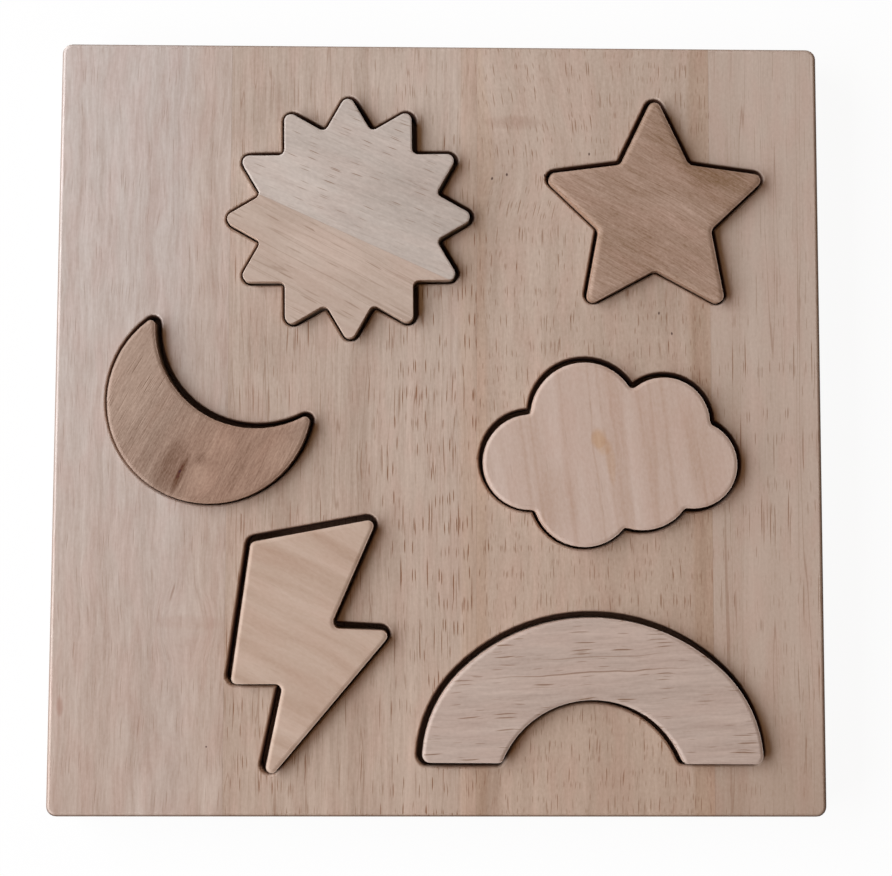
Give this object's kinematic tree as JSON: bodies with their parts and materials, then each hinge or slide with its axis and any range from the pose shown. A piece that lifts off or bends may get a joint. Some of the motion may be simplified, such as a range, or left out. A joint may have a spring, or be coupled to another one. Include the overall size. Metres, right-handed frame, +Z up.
{
  "type": "wooden tray puzzle",
  "caption": "Square board of edge-glued light wood with shallow routed pockets; a sun, star, moon, cloud, lightning bolt and rainbow of thick wood lift out.",
  "frame": {"origin": "middle of the board's underside", "axes": "+Z up, out of the pockets; +Y along the staves' grain, towards the edge by the sun and star; +X towards the star and rainbow"},
  "size_m": [0.298, 0.3, 0.0183],
  "materials": {
    "board_stave_left": "pale, finely sanded, clear matt oil",
    "board_stave_inner_left": "light brown, finely sanded, clear matt oil",
    "board_stave_inner_right": "light brown, finely sanded, clear matt oil",
    "board_stave_right": "light brown, finely sanded, clear matt oil",
    "sun_upper_half": "pale grey-pink, finely sanded, clear matt oil",
    "sun_lower_half": "pale warm, finely sanded, clear matt oil",
    "star": "warm mid brown, finely sanded, clear matt oil",
    "moon": "warm mid brown, finely sanded, clear matt oil",
    "cloud": "beige, finely sanded, clear matt oil",
    "lightning_bolt": "warm beige, finely sanded, clear matt oil",
    "rainbow": "pale beige, finely sanded, clear matt oil"
  },
  "bodies": {
    "board": {"board_stave_left": "board_stave_left", "board_stave_inner_left": "board_stave_inner_left", "board_stave_inner_right": "board_stave_inner_right", "board_stave_right": "board_stave_right"},
    "sun": {"sun_upper_half": "sun_upper_half", "sun_lower_half": "sun_lower_half"},
    "star": {"star": "star"},
    "moon": {"moon": "moon"},
    "cloud": {"cloud": "cloud"},
    "lightning_bolt": {"lightning_bolt": "lightning_bolt"},
    "rainbow": {"rainbow": "rainbow"}
  },
  "joints": [
    {"name": "sun_lift", "type": "slide", "parent": "board", "child": "sun", "axis": [0, 0, 1], "range_m": [0, 0.03]},
    {"name": "star_lift", "type": "slide", "parent": "board", "child": "star", "axis": [0, 0, 1], "range_m": [0, 0.03]},
    {"name": "moon_lift", "type": "slide", "parent": "board", "child": "moon", "axis": [0, 0, 1], "range_m": [0, 0.03]},
    {"name": "cloud_lift", "type": "slide", "parent": "board", "child": "cloud", "axis": [0, 0, 1], "range_m": [0, 0.03]},
    {"name": "lightning_bolt_lift", "type": "slide", "parent": "board", "child": "lightning_bolt", "axis": [0, 0, 1], "range_m": [0, 0.03]},
    {"name": "rainbow_lift", "type": "slide", "parent": "board", "child": "rainbow", "axis": [0, 0, 1], "range_m": [0, 0.03]}
  ]
}
